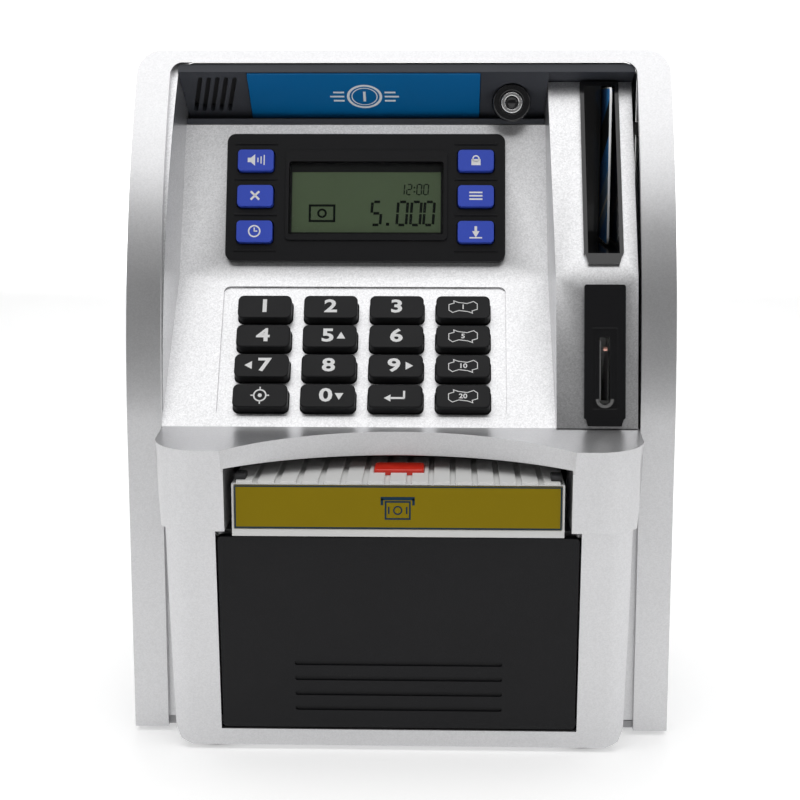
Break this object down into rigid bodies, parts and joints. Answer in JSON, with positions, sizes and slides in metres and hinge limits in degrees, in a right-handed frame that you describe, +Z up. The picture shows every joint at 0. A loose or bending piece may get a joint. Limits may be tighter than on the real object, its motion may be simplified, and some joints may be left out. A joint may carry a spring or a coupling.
{
  "type": "toy cash machine savings bank",
  "caption": "Toy cash machine savings bank with keypad, display, card slot, coin slot, motorised banknote slot and a drop-down safe door.",
  "frame": {"origin": "on the floor under the middle of the bank's width and depth", "axes": "+Z up, front with the keypad and door towards -Y, +X to the right when seen from the front"},
  "size_m": [0.184, 0.1519, 0.233],
  "materials": {
    "silver_paint": "metallic silver paint on moulded plastic",
    "grey_plastic": "fine matt texture",
    "face_paint": "metallic silver paint with a fine flake",
    "charcoal": "satin charcoal",
    "sign_blue": "printed blue",
    "black_gloss": "polished black",
    "bright_metal": "bright plating",
    "black_satin": "satin black",
    "clear_window": "clear acrylic",
    "lcd_green": "grey-green display",
    "rubber_grey": "matt",
    "black_rubber": "matt",
    "blue_rubber": "satin",
    "card_print": "laminated",
    "white_plastic": "moulded",
    "gold_label": "printed foil",
    "red_lens": "clear red",
    "steel": "turned",
    "motor_can": "drawn can",
    "door_black": "fine matt texture",
    "orange_plastic": "moulded",
    "board_green": "solder mask",
    "cell_wrap": "printed sleeve"
  },
  "bodies": {
    "bank": {"outer_shell": "silver_paint", "rear_cover": "grey_plastic", "base_plate": "grey_plastic", "front_panel": "face_paint", "header_visor": "charcoal", "sign_panel": "sign_blue", "camera_housing": "black_gloss", "camera_ring": "bright_metal", "display_bezel": "black_satin", "display_window": "clear_window", "lcd_module": "lcd_green", "keypad_membrane": "rubber_grey", "card_slot_bezel": "black_gloss", "coin_slot_bezel": "black_gloss", "coin_contacts": "bright_metal", "coin_chute": "white_plastic", "shelf_housing": "silver_paint", "bill_tray": "white_plastic", "bill_label": "gold_label", "indicator_lens": "red_lens", "feed_motor": "motor_can", "lower_case": "silver_paint", "bolt_solenoid": "motor_can", "cash_box": "white_plastic", "batteries": "cell_wrap", "battery_cover": "grey_plastic", "main_board": "board_green", "speaker": "rubber_grey", "case_screws": "steel", "rubber_feet": "rubber_grey"},
    "card": {"savings_card": "card_print"},
    "door": {"safe_door": "door_black", "door_latch": "steel"},
    "bolt": {"door_bolt": "steel"},
    "lever": {"coin_lever": "orange_plastic"},
    "roller": {"feed_roller": "rubber_grey", "roller_gear": "white_plastic"},
    "pinion": {"motor_pinion": "white_plastic"},
    "switch": {"power_switch": "black_satin"},
    "keypad_key_1_body": {"keypad_key_1": "black_rubber"},
    "keypad_key_2_body": {"keypad_key_2": "black_rubber"},
    "keypad_key_3_body": {"keypad_key_3": "black_rubber"},
    "keypad_key_4_body": {"keypad_key_4": "black_rubber"},
    "keypad_key_5_body": {"keypad_key_5": "black_rubber"},
    "keypad_key_6_body": {"keypad_key_6": "black_rubber"},
    "keypad_key_7_body": {"keypad_key_7": "black_rubber"},
    "keypad_key_8_body": {"keypad_key_8": "black_rubber"},
    "keypad_key_9_body": {"keypad_key_9": "black_rubber"},
    "keypad_key_10_body": {"keypad_key_10": "black_rubber"},
    "keypad_key_11_body": {"keypad_key_11": "black_rubber"},
    "keypad_key_12_body": {"keypad_key_12": "black_rubber"},
    "keypad_key_13_body": {"keypad_key_13": "black_rubber"},
    "keypad_key_14_body": {"keypad_key_14": "black_rubber"},
    "keypad_key_15_body": {"keypad_key_15": "black_rubber"},
    "keypad_key_16_body": {"keypad_key_16": "black_rubber"},
    "function_key_1_body": {"function_key_1": "blue_rubber"},
    "function_key_2_body": {"function_key_2": "blue_rubber"},
    "function_key_3_body": {"function_key_3": "blue_rubber"},
    "function_key_4_body": {"function_key_4": "blue_rubber"},
    "function_key_5_body": {"function_key_5": "blue_rubber"},
    "function_key_6_body": {"function_key_6": "blue_rubber"}
  },
  "joints": [
    {"name": "keypad_key_1_press", "type": "slide", "parent": "bank", "child": "keypad_key_1_body", "axis": [0, 0.8192, -0.5736], "range_m": [0, 0.0012], "stiffness_N_per_m": 250},
    {"name": "keypad_key_2_press", "type": "slide", "parent": "bank", "child": "keypad_key_2_body", "axis": [0, 0.8192, -0.5736], "range_m": [0, 0.0012], "stiffness_N_per_m": 250},
    {"name": "keypad_key_3_press", "type": "slide", "parent": "bank", "child": "keypad_key_3_body", "axis": [0, 0.8192, -0.5736], "range_m": [0, 0.0012], "stiffness_N_per_m": 250},
    {"name": "keypad_key_4_press", "type": "slide", "parent": "bank", "child": "keypad_key_4_body", "axis": [0, 0.8192, -0.5736], "range_m": [0, 0.0012], "stiffness_N_per_m": 250},
    {"name": "keypad_key_5_press", "type": "slide", "parent": "bank", "child": "keypad_key_5_body", "axis": [0, 0.8192, -0.5736], "range_m": [0, 0.0012], "stiffness_N_per_m": 250},
    {"name": "keypad_key_6_press", "type": "slide", "parent": "bank", "child": "keypad_key_6_body", "axis": [0, 0.8192, -0.5736], "range_m": [0, 0.0012], "stiffness_N_per_m": 250},
    {"name": "keypad_key_7_press", "type": "slide", "parent": "bank", "child": "keypad_key_7_body", "axis": [0, 0.8192, -0.5736], "range_m": [0, 0.0012], "stiffness_N_per_m": 250},
    {"name": "keypad_key_8_press", "type": "slide", "parent": "bank", "child": "keypad_key_8_body", "axis": [0, 0.8192, -0.5736], "range_m": [0, 0.0012], "stiffness_N_per_m": 250},
    {"name": "keypad_key_9_press", "type": "slide", "parent": "bank", "child": "keypad_key_9_body", "axis": [0, 0.8192, -0.5736], "range_m": [0, 0.0012], "stiffness_N_per_m": 250},
    {"name": "keypad_key_10_press", "type": "slide", "parent": "bank", "child": "keypad_key_10_body", "axis": [0, 0.8192, -0.5736], "range_m": [0, 0.0012], "stiffness_N_per_m": 250},
    {"name": "keypad_key_11_press", "type": "slide", "parent": "bank", "child": "keypad_key_11_body", "axis": [0, 0.8192, -0.5736], "range_m": [0, 0.0012], "stiffness_N_per_m": 250},
    {"name": "keypad_key_12_press", "type": "slide", "parent": "bank", "child": "keypad_key_12_body", "axis": [0, 0.8192, -0.5736], "range_m": [0, 0.0012], "stiffness_N_per_m": 250},
    {"name": "keypad_key_13_press", "type": "slide", "parent": "bank", "child": "keypad_key_13_body", "axis": [0, 0.8192, -0.5736], "range_m": [0, 0.0012], "stiffness_N_per_m": 250},
    {"name": "keypad_key_14_press", "type": "slide", "parent": "bank", "child": "keypad_key_14_body", "axis": [0, 0.8192, -0.5736], "range_m": [0, 0.0012], "stiffness_N_per_m": 250},
    {"name": "keypad_key_15_press", "type": "slide", "parent": "bank", "child": "keypad_key_15_body", "axis": [0, 0.8192, -0.5736], "range_m": [0, 0.0012], "stiffness_N_per_m": 250},
    {"name": "keypad_key_16_press", "type": "slide", "parent": "bank", "child": "keypad_key_16_body", "axis": [0, 0.8192, -0.5736], "range_m": [0, 0.0012], "stiffness_N_per_m": 250},
    {"name": "function_key_1_press", "type": "slide", "parent": "bank", "child": "function_key_1_body", "axis": [0, 0.9511, -0.309], "range_m": [0, 0.001], "stiffness_N_per_m": 250},
    {"name": "function_key_2_press", "type": "slide", "parent": "bank", "child": "function_key_2_body", "axis": [0, 0.9511, -0.309], "range_m": [0, 0.001], "stiffness_N_per_m": 250},
    {"name": "function_key_3_press", "type": "slide", "parent": "bank", "child": "function_key_3_body", "axis": [0, 0.9511, -0.309], "range_m": [0, 0.001], "stiffness_N_per_m": 250},
    {"name": "function_key_4_press", "type": "slide", "parent": "bank", "child": "function_key_4_body", "axis": [0, 0.9511, -0.309], "range_m": [0, 0.001], "stiffness_N_per_m": 250},
    {"name": "function_key_5_press", "type": "slide", "parent": "bank", "child": "function_key_5_body", "axis": [0, 0.9511, -0.309], "range_m": [0, 0.001], "stiffness_N_per_m": 250},
    {"name": "function_key_6_press", "type": "slide", "parent": "bank", "child": "function_key_6_body", "axis": [0, 0.9511, -0.309], "range_m": [0, 0.001], "stiffness_N_per_m": 250},
    {"name": "card_slide", "type": "slide", "parent": "bank", "child": "card", "axis": [0, -1, 0], "range_m": [0, 0.06]},
    {"name": "door_hinge", "type": "hinge", "parent": "bank", "child": "door", "pos_m": [0, -0.06123, 0.01055], "axis": [1, 0, 0], "range_deg": [0, 90]},
    {"name": "bolt_slide", "type": "slide", "parent": "bank", "child": "bolt", "axis": [1, 0, 0], "range_m": [0, 0.005], "stiffness_N_per_m": 120},
    {"name": "coin_lever_hinge", "type": "hinge", "parent": "bank", "child": "lever", "pos_m": [0.0682, -0.008, 0.104], "axis": [1, 0, 0], "range_deg": [0, 20], "stiffness_Nm_per_rad": 0.002},
    {"name": "roller_spin", "type": "hinge", "parent": "bank", "child": "roller", "pos_m": [0, -0.032, 0.1016], "axis": [1, 0, 0], "continuous": true},
    {"name": "pinion_spin", "type": "hinge", "parent": "bank", "child": "pinion", "pos_m": [0, -0.032, 0.08885], "axis": [1, 0, 0], "continuous": true},
    {"name": "switch_slide", "type": "slide", "parent": "bank", "child": "switch", "axis": [1, 0, 0], "range_m": [-0.002, 0.002]}
  ],
  "couplings": [
    {"joint": "pinion_spin", "follows": "roller_spin", "ratio": -2.4}
  ]
}
